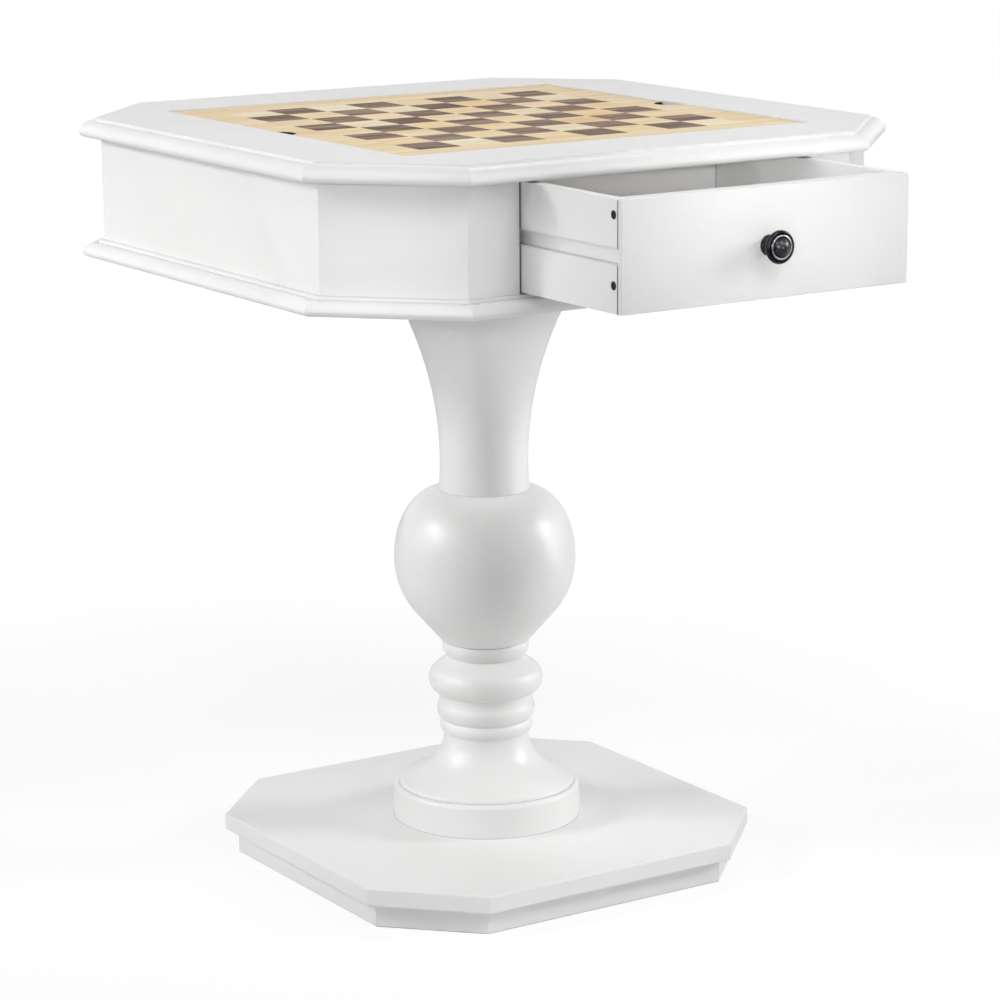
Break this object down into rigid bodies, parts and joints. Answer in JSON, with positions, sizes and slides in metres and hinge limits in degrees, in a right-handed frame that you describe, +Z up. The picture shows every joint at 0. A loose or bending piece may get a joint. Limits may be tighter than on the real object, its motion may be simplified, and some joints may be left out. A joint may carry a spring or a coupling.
{
  "type": "games table",
  "caption": "Octagonal games table with a chequered lift-out board, drawers with round knobs under a moulded top, and a turned baluster pedestal on a stepped base.",
  "frame": {"origin": "on the floor under the pedestal's axis, at the centre of the plinth's underside", "axes": "+Z up, -Y out of the face with the open drawer, +X to the right of a person who faces that drawer"},
  "size_m": [0.686, 0.856, 0.787],
  "materials": {
    "white_paint": "satin white paint",
    "plain_wood": "bare sanded",
    "maple": "satin lacquer",
    "walnut": "satin lacquer",
    "black_lipping": "matt black stain",
    "knob_bronze": "dark bronze, satin",
    "black_steel": "black oxide",
    "zinc_steel": "zinc plated",
    "insert_brass": "plain"
  },
  "bodies": {
    "table": {"base_plinth": "white_paint", "base_plate": "white_paint", "base_bolts": "zinc_steel", "base_washers": "zinc_steel", "base_inserts": "insert_brass", "pedestal_foot": "white_paint", "pedestal_urn": "white_paint", "top_bolts": "zinc_steel", "top_washers": "zinc_steel", "top_inserts": "insert_brass", "bottom_board": "white_paint", "left_side_panel": "white_paint", "right_side_panel": "white_paint", "front_left_corner_panel": "white_paint", "front_right_corner_panel": "white_paint", "rear_left_corner_panel": "white_paint", "rear_right_corner_panel": "white_paint", "front_left_stile": "white_paint", "front_right_stile": "white_paint", "rear_left_stile": "white_paint", "rear_right_stile": "white_paint", "glue_blocks": "plain_wood", "board_rest_strips": "plain_wood", "top_frame": "white_paint", "left_partition": "white_paint", "right_partition": "white_paint", "centre_divider": "white_paint", "drawer_stops": "plain_wood", "front_runners": "plain_wood", "rear_runners": "plain_wood", "runner_screws": "black_steel"},
    "game_board": {"board_core": "plain_wood", "board_left_lipping": "black_lipping", "board_right_lipping": "black_lipping", "board_backing": "maple", "board_face": "maple", "dark_squares": "walnut", "light_squares": "maple"},
    "front_drawer": {"front_drawer_front": "white_paint", "front_drawer_left_side": "white_paint", "front_drawer_right_side": "white_paint", "front_drawer_back": "white_paint", "front_drawer_bottom": "white_paint", "front_drawer_knob": "knob_bronze", "front_drawer_knob_screw": "black_steel", "front_drawer_screws": "black_steel"},
    "rear_drawer": {"rear_drawer_front": "white_paint", "rear_drawer_left_side": "white_paint", "rear_drawer_right_side": "white_paint", "rear_drawer_back": "white_paint", "rear_drawer_bottom": "white_paint", "rear_drawer_knob": "knob_bronze", "rear_drawer_knob_screw": "black_steel", "rear_drawer_screws": "black_steel"}
  },
  "joints": [
    {"name": "front_drawer_slide", "type": "slide", "parent": "table", "child": "front_drawer", "axis": [0, -1, 0], "range_m": [-0.162, 0.05]},
    {"name": "rear_drawer_slide", "type": "slide", "parent": "table", "child": "rear_drawer", "axis": [0, 1, 0], "range_m": [0, 0.212]},
    {"name": "board_lift", "type": "slide", "parent": "table", "child": "game_board", "axis": [0, 0, 1], "range_m": [0, 0.1]}
  ]
}
